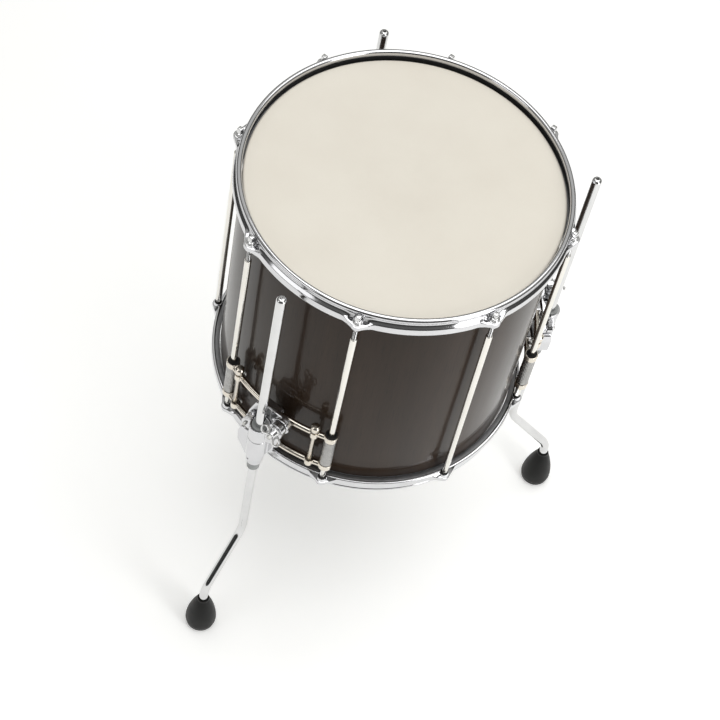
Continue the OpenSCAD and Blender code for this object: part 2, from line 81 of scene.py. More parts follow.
SHELL_R = high("shell").x
SHELL_Z0 = low("shell").z
SHELL_Z1 = high("shell").z
ROD_COUNT = 8
LEG_COUNT = 3
ROD_AT = [Vector(JOINTS[f"tension_rod_{i}_turn"]["pos_m"]) for i in range(1, ROD_COUNT + 1)]
ROD_ANGLE = [math.atan2(p.y, p.x) for p in ROD_AT]
ROD_R = math.hypot(ROD_AT[0].x, ROD_AT[0].y)
LEG_AT = [Vector(JOINTS[f"leg_liner_{i}_turn"]["pos_m"]) for i in range(1, LEG_COUNT + 1)]
LEG_ANGLE = [math.atan2(p.y, p.x) for p in LEG_AT]
LEG_R = math.hypot(LEG_AT[0].x, LEG_AT[0].y)


# ---------------------------------------------------------------- node helpers for materials
class Nodes:
    """A short way to write a node tree: each call adds one node and returns its output."""

    def __init__(self, name):
        self.material = bpy.data.materials.new(name)
        self.material.use_nodes = True
        self.tree = self.material.node_tree
        self.shader = next(n for n in self.tree.nodes if n.type == "BSDF_PRINCIPLED")

    def add(self, kind, inputs=None, **settings):
        node = self.tree.nodes.new(kind)
        for key, value in settings.items():
            setattr(node, key, value)
        for key, value in (inputs or {}).items():
            self.put(node.inputs[key], value)
        return node

    def put(self, socket, value):
        if isinstance(value, bpy.types.NodeSocket):
            self.tree.links.new(value, socket)
        else:
            socket.default_value = value

    def math(self, operation, a, b=0.0):
        return self.add("ShaderNodeMath", {0: a, 1: b}, operation=operation).outputs[0]

    def place(self):
        return self.add("ShaderNodeTexCoord").outputs["Object"]

    def stretched(self, scale, place=None):
        node = self.add("ShaderNodeMapping", {"Vector": place or self.place(), "Scale": scale})
        return node.outputs["Vector"]

    def noise(self, scale, place=None, detail=4.0, roughness=0.55):
        values = {"Vector": place or self.place(), "Scale": scale, "Detail": detail, "Roughness": roughness}
        return self.add("ShaderNodeTexNoise", values).outputs["Fac"]

    def ramp(self, factor, stops):
        node = self.add("ShaderNodeValToRGB", {"Fac": factor})
        elements = node.color_ramp.elements
        while len(elements) < len(stops):
            elements.new(0.5)
        for element, (position, colour) in zip(elements, stops):
            element.position = position
            element.color = (*colour, 1.0)
        return node.outputs["Color"]

    def spread(self, factor, out_low, out_high, in_low=0.3, in_high=0.7):
        values = {"Value": factor, "From Min": in_low, "From Max": in_high}
        values.update({"To Min": out_low, "To Max": out_high})
        return self.add("ShaderNodeMapRange", values).outputs["Result"]

    def mix(self, factor, a, b):
        node = self.add("ShaderNodeMix", data_type="RGBA")
        self.put(node.inputs[0], factor)
        self.put(node.inputs[6], a)
        self.put(node.inputs[7], b)
        return node.outputs[2]

    def bump(self, height, strength, distance, normal=None):
        values = {"Height": height, "Strength": strength, "Distance": distance}
        if normal is not None:
            values["Normal"] = normal
        return self.add("ShaderNodeBump", values).outputs["Normal"]

    def around(self):
        """Place on a surface wrapped round the drum's axis: arc length, height and radius, in metres."""
        xyz = self.add("ShaderNodeSeparateXYZ", {0: self.place()})
        x, y, z = xyz.outputs
        angle = self.math("ARCTAN2", y, x)
        squares = self.math("ADD", self.math("MULTIPLY", x, x), self.math("MULTIPLY", y, y))
        radius = self.math("SQRT", squares)
        arc = self.math("MULTIPLY", angle, SHELL_R)
        return self.add("ShaderNodeCombineXYZ", {0: arc, 1: z, 2: radius}).outputs[0], z, radius

    def finish(self, **sockets):
        for name, value in sockets.items():
            self.put(self.shader.inputs[name.replace("_", " ")], value)
        return self.material


def polished_metal(name, colour, dull, rough=(0.035, 0.10), wear=0.35):
    """Plated metal: faint smudges in its gloss, soft orange-peel waviness and hairline scratches."""
    n = Nodes(name)
    smudge = n.noise(28.0, detail=6.0)
    speck = n.noise(900.0, detail=2.0)
    hair = n.noise(260.0, n.stretched((1.0, 1.0, 9.0)), detail=3.0)
    shade = n.mix(n.spread(smudge, 0.0, wear), (*colour, 1.0), (*dull, 1.0))
    gloss = n.math("ADD", n.spread(smudge, rough[0], rough[1]), n.spread(hair, 0.0, 0.025))
    skin = n.bump(n.noise(70.0, detail=2.0), 0.05, 0.0004)
    return n.finish(
        Base_Color=shade, Metallic=1.0, Roughness=gloss, Normal=n.bump(speck, 0.015, 0.00005, skin),
    )


def lacquered_wood(name):
    """Dark stained veneer, its grain running up the shell, under thick clear lacquer."""
    n = Nodes(name)
    wrapped, _, _ = n.around()
    figure = n.noise(9.0, n.stretched((1.0, 0.16, 1.0), wrapped), detail=8.0, roughness=0.62)
    pores = n.noise(620.0, n.stretched((1.0, 0.035, 1.0), wrapped), detail=3.0, roughness=0.7)
    bands = n.noise(38.0, n.stretched((1.0, 0.05, 1.0), wrapped), detail=5.0)
    dark, middle, light = (0.020, 0.0115, 0.0065), (0.036, 0.021, 0.0125), (0.058, 0.035, 0.021)
    stain = n.ramp(figure, [(0.25, dark), (0.55, middle), (0.85, light)])
    streaked = n.mix(n.spread(bands, 0.0, 0.55), stain, (0.016, 0.0095, 0.0055, 1.0))
    pored = n.mix(n.spread(pores, 0.0, 0.5, 0.55, 0.75), streaked, (0.004, 0.003, 0.0025, 1.0))
    ripple = n.bump(n.noise(16.0, n.stretched((1.0, 0.5, 1.0), wrapped), detail=2.0), 0.10, 0.0012)
    return n.finish(
        Base_Color=pored,
        Roughness=n.spread(figure, 0.28, 0.42),
        Specular_IOR_Level=0.06,
        Coat_Weight=0.5,
        Coat_Roughness=0.045,
        Coat_IOR=1.26,
        Coat_Normal=ripple,
        Normal=n.bump(pores, 0.25, 0.00012, ripple),
    )


def bare_ply(name):
    """Pale unfinished maple inside the shell, with ply lines at its edges."""
    n = Nodes(name)
    wrapped, _, radius = n.around()
    grain = n.noise(14.0, n.stretched((0.10, 1.0, 1.0), wrapped), detail=8.0, roughness=0.6)
    fibres = n.noise(420.0, n.stretched((0.05, 1.0, 1.0), wrapped), detail=3.0)
    tone = n.ramp(grain, [(0.3, (0.42, 0.27, 0.15)), (0.55, (0.55, 0.38, 0.22)), (0.8, (0.63, 0.46, 0.29))])
    fine = n.mix(n.spread(fibres, 0.0, 0.35), tone, (0.36, 0.22, 0.12, 1.0))
    ply = n.math("FRACT", n.math("MULTIPLY", radius, 1.0 / (PLY_THICKNESS * MM)))
    glue = n.math("LESS_THAN", ply, 0.16)
    return n.finish(
        Base_Color=n.mix(n.math("MULTIPLY", glue, 0.25), fine, (0.16, 0.09, 0.045, 1.0)),
        Roughness=n.spread(fibres, 0.5, 0.68),
        Normal=n.bump(fibres, 0.35, 0.00015),
    )


def coated_film(name):
    """Smooth ivory drum head with a satin coat, very fine speckle and a faint worn patch in the middle."""
    n = Nodes(name)
    _, _, radius = n.around()
    cloud = n.noise(9.0, detail=5.0)
    speckle = n.noise(1500.0, detail=1.0)
    base = n.ramp(cloud, [(0.3, (0.735, 0.690, 0.605)), (0.7, (0.775, 0.735, 0.650))])
    speckled = n.mix(n.spread(speckle, 0.0, 0.12, 0.35, 0.75), base, (0.62, 0.57, 0.48, 1.0))
    near_middle = n.spread(radius, 1.0, 0.0, 0.02, 0.12)
    worn = n.math("MULTIPLY", near_middle, n.spread(n.noise(60.0, detail=6.0), 0.0, 0.10))
    return n.finish(
        Base_Color=n.mix(worn, speckled, (0.60, 0.56, 0.49, 1.0)),
        Roughness=n.spread(n.noise(35.0, detail=5.0), 0.40, 0.52),
        Specular_IOR_Level=0.4,
        Normal=n.bump(speckle, 0.12, 0.00004, n.bump(n.noise(12.0, detail=2.0), 0.05, 0.0008)),
    )


def clear_film(name):
    """Clear lower head: a thin glossy film with faint haze."""
    n = Nodes(name)
    haze = n.noise(22.0, detail=6.0)
    material = n.finish(
        Base_Color=n.mix(n.spread(haze, 0.0, 0.6), (0.78, 0.82, 0.84, 1.0), (0.62, 0.66, 0.69, 1.0)),
        Roughness=n.spread(haze, 0.05, 0.16),
        Alpha=n.spread(haze, 0.20, 0.32),
        Normal=n.bump(n.noise(14.0, detail=2.0), 0.08, 0.0006),
    )
    material.blend_method = "BLEND"
    return material


def brushed(name, colour, dull, rough=(0.28, 0.45)):
    """Turned or zinc-plated steel with fine tool lines and dull patches."""
    n = Nodes(name)
    lines = n.noise(1400.0, n.stretched((1.0, 1.0, 0.08)), detail=2.0)
    patch = n.noise(120.0, detail=4.0)
    return n.finish(
        Base_Color=n.mix(n.spread(patch, 0.0, 0.7), (*colour, 1.0), (*dull, 1.0)),
        Metallic=1.0,
        Roughness=n.spread(lines, rough[0], rough[1]),
        Normal=n.bump(lines, 0.12, 0.00004),
    )


def moulded(name, colour, pale, rough=(0.45, 0.65), grain=900.0, depth=0.00006):
    """Moulded rubber or nylon: fine leathery grain, slight bloom and dust on its surface. Also gives the
    near-black painted shade inside the hoops.
    """
    n = Nodes(name)
    texture = n.noise(grain, detail=3.0)
    bloom = n.noise(65.0, detail=6.0, roughness=0.65)
    return n.finish(
        Base_Color=n.mix(n.spread(bloom, 0.0, 0.5, 0.45, 0.8), (*colour, 1.0), (*pale, 1.0)),
        Roughness=n.spread(bloom, rough[0], rough[1]),
        Specular_IOR_Level=0.22,
        Normal=n.bump(texture, 0.35, depth),
    )


MATERIALS = {
    "cast_chrome": polished_metal("cast_chrome", (0.66, 0.66, 0.675), (0.50, 0.50, 0.51), (0.05, 0.13)),
    "chrome_trim": polished_metal("chrome_trim", (0.70, 0.70, 0.70), (0.52, 0.52, 0.52), (0.05, 0.14)),
    "chrome_tube": polished_metal("chrome_tube", (0.80, 0.78, 0.735), (0.66, 0.64, 0.59), (0.04, 0.11)),
    "leg_chrome": polished_metal("leg_chrome", (0.70, 0.70, 0.70), (0.54, 0.54, 0.545), (0.05, 0.12)),
    "nickel_rail": polished_metal("nickel_rail", (0.74, 0.69, 0.61), (0.54, 0.49, 0.42), (0.09, 0.20)),
    "lacquered_shell": lacquered_wood("lacquered_shell"),
    "coated_film": coated_film("coated_film"),
    "clear_film": clear_film("clear_film"),
    "hoop_aluminium": brushed("hoop_aluminium", (0.26, 0.26, 0.265), (0.18, 0.18, 0.185), (0.35, 0.5)),
    "zinc_steel": brushed("zinc_steel", (0.60, 0.60, 0.58), (0.40, 0.40, 0.38)),
    "satin_plate": brushed("satin_plate", (0.62, 0.60, 0.55), (0.46, 0.44, 0.40), (0.25, 0.38)),
    "dark_sleeve": brushed("dark_sleeve", (0.40, 0.395, 0.385), (0.27, 0.265, 0.26), (0.2, 0.32)),
    "grey_nylon": moulded("grey_nylon", (0.30, 0.31, 0.305), (0.37, 0.38, 0.375), (0.35, 0.5)),
    "black_nylon": moulded("black_nylon", (0.022, 0.022, 0.023), (0.045, 0.045, 0.045)),
    "black_rubber": moulded("black_rubber", (0.016, 0.016, 0.016), (0.04, 0.038, 0.036), (0.55, 0.75)),
    "foot_rubber": moulded(
        "foot_rubber", (0.006, 0.006, 0.0055), (0.014, 0.0135, 0.0125), (0.38, 0.55), 600.0, 0.0001,
    ),
}
PLY = bare_ply("bare_ply")
# Near-black material for the hoops' inner walls, which are chrome: painted shade in the gaps by the head
# and inside the skirt, with a painted dark reflection
HOOP_PAINTED_SHADE = moulded("hoop_painted_shade", (0.018, 0.018, 0.018), (0.03, 0.03, 0.03), (0.4, 0.6))
SLOT_OF = {s["node"]: s["material_slot"] for s in frame["record"]["subparts"]}


# ---------------------------------------------------------------- mesh helpers
def new_object(name, mesh, *materials, smooth_angle=35.0):
    obj = bpy.data.objects.new(name, mesh)
    bpy.context.scene.collection.objects.link(obj)
    mesh.materials.clear()
    for material in materials:
        mesh.materials.append(material)
    smooth_by_angle(obj, smooth_angle)
    return obj


def smooth_by_angle(obj, angle):
    mesh = obj.data
    mesh.polygons.foreach_set("use_smooth", [True] * len(mesh.polygons))
    mesh.set_sharp_from_angle(angle=math.radians(angle))
    mesh.update()


def arc(centre, radius, start, end, steps):
    """Points along an arc in a section's plane, from one angle to another in degrees."""
    points = []
    for k in range(steps + 1):
        a = math.radians(start + (end - start) * k / steps)
        points.append((centre[0] + radius * math.cos(a), centre[1] + radius * math.sin(a)))
    return points


def skin(bm, rows, closed=True):
    """Quads between neighbouring rows of points, and from the last row back to the first."""
    made = [[bm.verts.new(p) for p in row] for row in rows]
    size = len(made[0])
    for here, there in zip(made, made[1:] + made[:1]):
        for k in range(size if closed else size - 1):
            j = (k + 1) % size
            bm.faces.new((here[k], there[k], there[j], here[j]))
    return made


def tidy_mesh(bm, name):
    """Welds what coincides, turns every face outward and hands back a mesh."""
    bmesh.ops.remove_doubles(bm, verts=bm.verts, dist=1e-6)
    bmesh.ops.recalc_face_normals(bm, faces=bm.faces)
    mesh = bpy.data.meshes.new(name)
    bm.to_mesh(mesh)
    bm.free()
    return mesh


def turn_into(bm, section, centre=(0.0, 0.0), steps=256, closed=True):
    """Turns a section of (radius, height) pairs in mm round the upright line through centre."""
    rows = []
    for k in range(steps):
        c, s = math.cos(TAU * k / steps), math.sin(TAU * k / steps)
        rows.append([(centre[0] + r * MM * c, centre[1] + r * MM * s, h * MM) for r, h in section])
    skin(bm, rows, closed)


def turned(name, section, centre=(0.0, 0.0), steps=256, closed=True):
    bm = bmesh.new()
    turn_into(bm, section, centre, steps, closed)
    return tidy_mesh(bm, name)


def cylinder(name, radius, low_point, high_point, steps=32):
    """A plain closed cutter between two points, never shown."""
    along = high_point - low_point
    middle = Matrix.Translation((low_point + high_point) / 2)
    bm = bmesh.new()
    bmesh.ops.create_cone(
        bm, cap_ends=True, segments=steps, radius1=radius, radius2=radius, depth=along.length,
        matrix=middle @ along.to_track_quat("Z", "Y").to_matrix().to_4x4(),
    )
    mesh = bpy.data.meshes.new(name)
    bm.to_mesh(mesh)
    bm.free()
    return bpy.data.objects.new(name, mesh)


def evaluated(obj):
    """The object's mesh with its modifiers applied."""
    graph = bpy.context.evaluated_depsgraph_get()
    return bpy.data.meshes.new_from_object(obj.evaluated_get(graph))


def drilled(mesh, cutters):
    """Cuts each cutter out of a mesh."""
    work = bpy.data.objects.new("drilling", mesh)
    scene = bpy.context.scene.collection.objects
    scene.link(work)
    for cutter in cutters:
        scene.link(cutter)
        step = work.modifiers.new("hole", "BOOLEAN")
        step.operation = "DIFFERENCE"
        step.solver = "EXACT"
        step.object = cutter
    result = evaluated(work)
    for obj in [work, *cutters]:
        bpy.data.objects.remove(obj)
    return result


def softened(node, voxel, rounds, keep):
    """A casting like a CAD node: its edges and inner corners are rounded by remeshing and smoothing."""
    work = bpy.data.objects.new("casting", NODES[node].data.copy())
    bpy.context.scene.collection.objects.link(work)
    remesh = work.modifiers.new("remesh", "REMESH")
    remesh.mode = "VOXEL"
    remesh.voxel_size = voxel * MM
    smooth = work.modifiers.new("smooth", "SMOOTH")
    smooth.factor = 0.5
    smooth.iterations = rounds
    thin = work.modifiers.new("thin", "DECIMATE")
    thin.ratio = keep
    result = evaluated(work)
    bpy.data.objects.remove(work)
    return result


def show(obj, body, slot, *nodes):
    """Puts a piece on its body, in place of CAD nodes; its slot argument is not used."""
    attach(obj, body)
    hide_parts(*nodes)
    return obj


# ---------------------------------------------------------------- shell and heads
SHELL_WALL = 7.0
BEARING_EDGE_R = 3.0
AIR_HOLE_R = 5.95
LACQUER_DEPTH = 2.2  # how far in over the bearing edge the lacquer goes
FILM_SIDE = 11.8     # how far the film reaches down past the bearing edge


def make_shell():
    """The wooden shell: rounded bearing edges, sloped inside, with its air hole."""
    r, low_z, high_z = SHELL_R / MM, SHELL_Z0 / MM, SHELL_Z1 / MM
    inside, peak, edge, slope = r - SHELL_WALL, r - BEARING_EDGE_R - 0.8, BEARING_EDGE_R, 3.2
    upper = arc((r - edge, high_z - edge), edge, 0, 90, 8)
    upper += [(peak, high_z), (inside, high_z - slope)]
    lower = [(inside, low_z + slope), (peak, low_z)]
    lower += arc((r - edge, low_z + edge), edge, -90, 0, 8)
    mesh = turned("shell", upper + lower, steps=360)
    vent = (low("vent_grommet") + high("vent_grommet")) / 2
    outward = Vector((vent.x, vent.y, 0)).normalized()
    centre = Vector((0, 0, vent.z))
    hole_ends = [centre + outward * (SHELL_R + reach * MM) for reach in (-20.0, 20.0)]
    mesh = drilled(mesh, [cylinder("air_hole", AIR_HOLE_R * MM, *hole_ends)])
    shell = new_object("shell_wood", mesh, MATERIALS["lacquered_shell"], PLY)
    for face in mesh.polygons:
        across = math.hypot(face.center.x, face.center.y)
        face.material_index = 1 if across < SHELL_R - LACQUER_DEPTH * MM else 0
    show(shell, "drum", "lacquered_shell", "shell")


def head_section(flip):
    """A drum head's film: flat, drawn over the bearing edge and down inside the hoop."""
    bend, film, top = 3.3, 0.25, 0.4
    flat, corner, inside = SHELL_R / MM - 12, SHELL_R / MM - 3, bend - film
    over = [(0, top), (flat, top)] + arc((corner, top - bend), bend, 90, 0, 8)
    over += [(corner + bend, -FILM_SIDE)]
    under = [(corner + inside, -FILM_SIDE)] + arc((corner, top - bend), inside, 0, 90, 8)
    under += [(flat, top - film), (0, top - film)]
    return [(a, flip[0] + flip[1] * h) for a, h in over + under]


def make_heads():
    for end, slot in (("batter", "coated_film"), ("resonant", "clear_film")):
        flip = (SHELL_Z1 / MM, 1) if end == "batter" else (SHELL_Z0 / MM, -1)
        film_mesh = turned(f"{end}_head", head_section(flip), closed=False)
        film = new_object(f"{end}_head", film_mesh, MATERIALS[slot])
        show(film, "drum", slot, f"{end}_film")
        r = SHELL_R / MM
        ring = arc((r + 1.4, -6.8), 0.6, 180, 90, 4) + arc((r + 6.5, -6.8), 0.8, 90, 0, 4)
        ring += arc((r + 6.5, -11.2), 0.8, 0, -90, 4) + arc((r + 1.4, -11.4), 0.6, -90, -180, 4)
        ring = [(a, flip[0] + flip[1] * h) for a, h in ring]
        flesh = new_object(f"{end}_ring", turned(f"{end}_ring", ring), MATERIALS["hoop_aluminium"])
        show(flesh, "drum", "hoop_aluminium", f"{end}_flesh_hoop")


# ---------------------------------------------------------------- cast hoops
EAR_R = 8.0
EAR_HALF_ANGLE = 50.0
EAR_ROOT = 24.0      # half the width of an ear where it leaves the skirt
EAR_ROOT_OUT = 8.1   # how far outside the shell that place is
EAR_JOIN = 1.6       # how sharply ear and skirt meet: higher is sharper
SKIRT_OUT = 11.5     # the skirt's outside, measured from the shell
SKIRT_DEPTH = 12.8
POCKET_R = 7.4       # the round pocket over each ear that the rod's head sits in
ROD_HOLE_R = 3.3
FAR = 1e3


def ear_reach(side):
    """How far out an ear's outline reaches, at a distance to the side of its rod."""
    side = abs(side)
    tip_side = EAR_R * math.sin(math.radians(EAR_HALF_ANGLE))
    tip_out = EAR_R * math.cos(math.radians(EAR_HALF_ANGLE))
    if side < tip_side:
        return ROD_R / MM + math.sqrt(EAR_R ** 2 - side ** 2)
    root_out = SHELL_R / MM + EAR_ROOT_OUT
    fall = (ROD_R / MM + tip_out - root_out) / (EAR_ROOT - tip_side)
    return root_out + (EAR_ROOT - side) * fall


def hoop_column(side, lean):
    """The hoop's closed section at one angle, as (radius, height above the head) pairs in mm."""
    r = SHELL_R / MM
    skirt = r + SKIRT_OUT
    straight = ear_reach(side) / math.cos(lean)
    reach = skirt + math.log1p(math.exp((straight - skirt) * EAR_JOIN)) / EAR_JOIN
    if abs(side) < EAR_R * 0.7:
        reach = straight
    out = reach - skirt
    w = min(1.0, max(0.0, out / 5.0))
    in_pocket = abs(side) < POCKET_R
    room = ROD_R / MM - math.sqrt(POCKET_R ** 2 - side ** 2) if in_pocket else FAR

    def wall(radius, height, ear_height=None):
        ear_height = height if ear_height is None else ear_height
        return min(radius, room), height + (ear_height - height) * (1.0 if in_pocket else w)

    def lip(inset, height, ear_inset, ear_height):
        return skirt - inset + out - (ear_inset - inset) * w, height + (ear_height - height) * w

    column = [(r + 3.3, -6.0), (r + 2.9, -5.4), (r + 2.9, 3.2), (r + 2.2, 4.8), (r + 1.6, 6.4)]
    column += arc((r + 5.1, 9.4), 3.6, 190, -42, 22)
    column += [(r + 7.2, 5.8), (r + 7.0, 4.7), wall(r + 7.3, 3.4), wall(r + 8.3, 1.9, 1.2)]
    column += [wall(r + 9.7, 0.6, -1.9), (min(skirt - 0.9 + out * 0.5, reach - 0.9), -0.5 - 1.5 * w)]
    column += [lip(0.25, -1.2, 0.9, -2.0), lip(0.05, -1.8, 0.2, -2.35), lip(0.0, -2.6, 0.0, -3.1)]
    column += [lip(0.5, -5.9, 0.0, -5.9), lip(0.0, -9.0, 0.0, -8.3), lip(0.0, -10.0, 0.35, -9.1)]
    column += [lip(0.0, -10.8, 1.2, -9.5), (skirt - 0.1, -11.6), (skirt - 0.6, -12.4)]
    column += [(skirt - 1.3, -SKIRT_DEPTH), (r + 8.3, -SKIRT_DEPTH), (r + 7.75, -12.3)]
    column += [(r + 7.7, -6.6), (r + 7.3, -6.0)]
    return column


def hoop_angles():
    """Where the hoop's section is drawn: closely round each ear, wider apart between the ears."""
    ear_span, fine, between = 8.0, 64, 20
    angles = []
    for angle in ROD_ANGLE:
        around = [-ear_span + 2 * ear_span * k / fine for k in range(fine)]
        plain = 360 / ROD_COUNT - 2 * ear_span
        around += [ear_span + plain * k / between for k in range(between)]
        angles += [(angle + math.radians(a), math.radians(a)) for a in around]
    return angles


def add_ear_bosses(mesh, base, sense):
    """Adds the round boss under each ear, kept clear of the head's metal ring."""
    top, bottom = -8.8, -13.0
    section = [(ROD_HOLE_R, top), (7.0, top), (6.9, top - 0.9), (6.15, bottom + 0.6), (5.9, bottom + 0.15)]
    section += [(5.5, bottom), (ROD_HOLE_R + 0.4, bottom), (ROD_HOLE_R, bottom + 0.4)]
    inner = SHELL_R + 8.0 * MM
    bm = bmesh.new()
    bm.from_mesh(mesh)
    for place in ROD_AT:
        first = len(bm.verts)
        turn_into(bm, [(r, base / MM + sense * h) for r, h in section], place, 40)
        bm.verts.ensure_lookup_table()
        for vert in bm.verts[first:]:
            across = math.hypot(vert.co.x, vert.co.y)
            if across < inner:
                vert.co.x *= inner / across
                vert.co.y *= inner / across
    return tidy_mesh(bm, mesh.name)


def make_hoop(end):
    base, sense = (SHELL_Z1, 1) if end == "batter" else (SHELL_Z0, -1)
    rows = []
    for angle, lean in hoop_angles():
        side = ROD_R / MM * math.sin(lean)
        column = hoop_column(side, lean) if abs(side) < EAR_ROOT else hoop_column(EAR_ROOT, 0.0)
        c, s = math.cos(angle), math.sin(angle)
        rows.append([(r * MM * c, r * MM * s, base + sense * h * MM) for r, h in column])
    bm = bmesh.new()
    skin(bm, rows)
    mesh = tidy_mesh(bm, f"{end}_hoop")
    holes = []
    for i, place in enumerate(ROD_AT):
        ends = sorted((base - sense * 14 * MM, base - sense * 1.5 * MM))
        points = [Vector((place.x, place.y, z)) for z in ends]
        holes.append(cylinder(f"rod_hole_{i}", ROD_HOLE_R * MM, *points))
    mesh = add_ear_bosses(drilled(mesh, holes), base, sense)
    hoop = new_object(f"{end}_cast_hoop", mesh, MATERIALS["cast_chrome"], HOOP_PAINTED_SHADE, smooth_angle=40.0)
    # Inner faces beside the head and inside the skirt take the near-black second material: painted shade
    # and a painted dark reflection on chrome
    for face in mesh.polygons:
        across = math.hypot(face.center.x, face.center.y)
        height = (face.center.z - base) * sense
        painted_shade_beside_head = across < SHELL_R + 3.1 * MM and height < 4.6 * MM
        painted_shade_inside_skirt = across < SHELL_R + 8.1 * MM and height < -5.9 * MM
        face.material_index = 1 if painted_shade_beside_head or painted_shade_inside_skirt else 0
    show(hoop, "drum", "cast_chrome", f"{end}_hoop")


# ---------------------------------------------------------------- tension rods
def make_rod(i):
    """A tension rod: threaded shank, round collar and a square head with worn corners."""
    place = ROD_AT[i - 1]
    node = f"tension_rod_{i}"
    low_z, top_z = low(node).z / MM, high(node).z / MM
    collar_z = SHELL_Z1 / MM - 0.75
    thread_z0, thread_z1, pitch = collar_z - 40.0, collar_z - 6.0, 1.06
    thread_root, thread_depth, shank = 2.36, 0.36, 2.62
    steps, turn_rows = 20, 6
    bm = bmesh.new()
    rows = []
    for k in range(steps):
        share = k / steps
        column = [(0.0, low_z), (1.9, low_z), (2.5, low_z + 0.7), (2.5, thread_z0 - 0.4)]
        count = int((thread_z1 - thread_z0) / pitch * turn_rows)
        for n in range(count + 1):
            z = thread_z0 + (thread_z1 - thread_z0) * n / count
            phase = (z / pitch - share) % 1.0
            column.append((thread_root + thread_depth * (1 - abs(2 * phase - 1)), z))
        column += [(shank, thread_z1 + 0.4), (shank, collar_z)]
        collar = [(5.8, 0.0), (6.1, 0.3), (6.05, 1.2), (5.6, 1.75), (5.2, 1.95), (4.9, 3.0), (4.3, 3.45)]
        column += [(r, collar_z + h) for r, h in collar + [(0.0, 3.6)]]
        c, s = math.cos(TAU * share), math.sin(TAU * share)
        rows.append([(place.x + r * MM * c, place.y + r * MM * s, z * MM) for r, z in column])
    skin(bm, rows, closed=False)
    square_head(bm, place, collar_z + 2.6, top_z)
    rod = new_object(f"{node}_turned", tidy_mesh(bm, node), MATERIALS["chrome_trim"], smooth_angle=38.0)
    show(rod, node, "chrome_trim", node)


def square_head(bm, place, z0, z1):
    """A square post with bevelled corners and a domed, chamfered top."""
    half, corner = 3.15, 0.55
    outline = []
    for k in range(4):
        middle = math.radians(45 + 90 * k)
        x = math.copysign(half - corner, math.cos(middle))
        y = math.copysign(half - corner, math.sin(middle))
        for m in range(5):
            a = math.radians(90 * k + 90 * m / 4)
            outline.append((x + corner * math.cos(a), y + corner * math.sin(a)))
    levels = [(1.0, z0), (1.0, z1 - 1.3), (0.95, z1 - 0.75), (0.80, z1 - 0.3), (0.55, z1 - 0.1), (0.0, z1)]
    made = []
    for scale, z in levels:
        size = scale * MM
        made.append([bm.verts.new((place.x + x * size, place.y + y * size, z * MM)) for x, y in outline])
    for here, there in zip(made, made[1:]):
        for k in range(len(outline)):
            j = (k + 1) % len(outline)
            bm.faces.new((here[k], here[j], there[j], there[k]))
    bm.faces.new(reversed(made[0]))


# ---------------------------------------------------------------- legs and feet
LEG_TUBE_R = 6.35
LEG_BEND_R = 42.0
LEG_BENDS = (184.0, 95.0)  # heights where the leg's straight parts would cross
LEG_DOME = 5.0             # height of the rounded top end
LEG_TOP_HOLE = (2.2, 8.0)  # radius and depth of the hole in it


def leg_line(i):
    """The leg's middle line as (distance outward, height) points in mm, from its top end down."""
    box_low, box_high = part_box(f"leg_{i}")
    foot_at = Vector((0, 0, 0))
    for mount in frame["record"]["mounts"]:
        if mount["name"] == f"foot_{i}_base":
            foot_at = Vector(mount["pos_m"])
    start, end = LEG_R / MM, math.hypot(foot_at.x, foot_at.y) / MM
    upper_z, lower_z = LEG_BENDS
    lean = math.atan2(end - start, upper_z - lower_z)
    tangent = LEG_BEND_R * math.tan(lean / 2)
    steps = 14
    line = [(start, box_high.z / MM - LEG_DOME), (start, upper_z + tangent)]
    for k in range(1, steps + 1):
        a = lean * k / steps
        line.append((start + LEG_BEND_R * (1 - math.cos(a)), upper_z + tangent - LEG_BEND_R * math.sin(a)))
    for k in range(steps + 1):
        a = lean * (1 - k / steps)
        line.append((end - LEG_BEND_R * (1 - math.cos(a)), lower_z - tangent + LEG_BEND_R * math.sin(a)))
    line.append((end, box_low.z / MM + 0.2))
    return line


def make_leg(i):
    """A bent tube with a domed top end, drilled in its middle."""
    line = leg_line(i)
    top = high(f"leg_{i}").z / MM
    hole, depth = LEG_TOP_HOLE
    outward = Vector((math.cos(LEG_ANGLE[i - 1]), math.sin(LEG_ANGLE[i - 1]), 0))
    sideways = Vector((-outward.y, outward.x, 0))
    up = Vector((0, 0, 1))
    start = line[0][0]
    rings = [((start, top - depth), 0.0), ((start, top - depth), hole), ((start, top - 0.35), hole)]
    for a in (68, 58, 48, 38, 28, 18, 9, 0):
        c, s = math.cos(math.radians(a)), math.sin(math.radians(a))
        rings.append(((start, top - LEG_DOME + LEG_DOME * s), LEG_TUBE_R * c ** 0.8))
    upright = len(rings) + 1
    rings += [(point, LEG_TUBE_R) for point in line[1:]]
    rings += [(line[-1], 0.0)]
    bm = bmesh.new()
    steps = 40
    made = []
    for k, (point, size) in enumerate(rings):
        before, after = rings[max(k - 1, 0)][0], rings[min(k + 1, len(rings) - 1)][0]
        drop = Vector((after[0] - before[0], after[1] - before[1]))
        if drop.length < 1e-6 or k < upright:
            drop = Vector((0.0, -1.0))
        drop.normalize()
        across = outward * -drop.y + up * drop.x
        centre = outward * point[0] * MM + up * point[1] * MM
        ring = []
        for m in range(steps):
            a = TAU * m / steps
            ring.append(bm.verts.new(centre + (sideways * math.cos(a) + across * math.sin(a)) * size * MM))
        made.append(ring)
    for here, there in zip(made, made[1:]):
        for m in range(steps):
            j = (m + 1) % steps
            bm.faces.new((here[m], here[j], there[j], there[m]))
    leg = new_object(f"leg_{i}_tube", tidy_mesh(bm, f"leg_{i}"), MATERIALS["leg_chrome"])
    show(leg, f"leg_{i}", "leg_chrome", f"leg_{i}")


FOOT_BELLY_R = 22.0
FOOT_BELLY_Z = 12.0
FOOT_MOUTH_R = 8.1
FOOT_FULLNESS = 1.7  # above 1 the side stays wide low down and narrows towards the top
FOOT_LIP = 2.4
FOOT_SOCKET = (6.45, 20.0)  # radius and depth of the hole for the leg


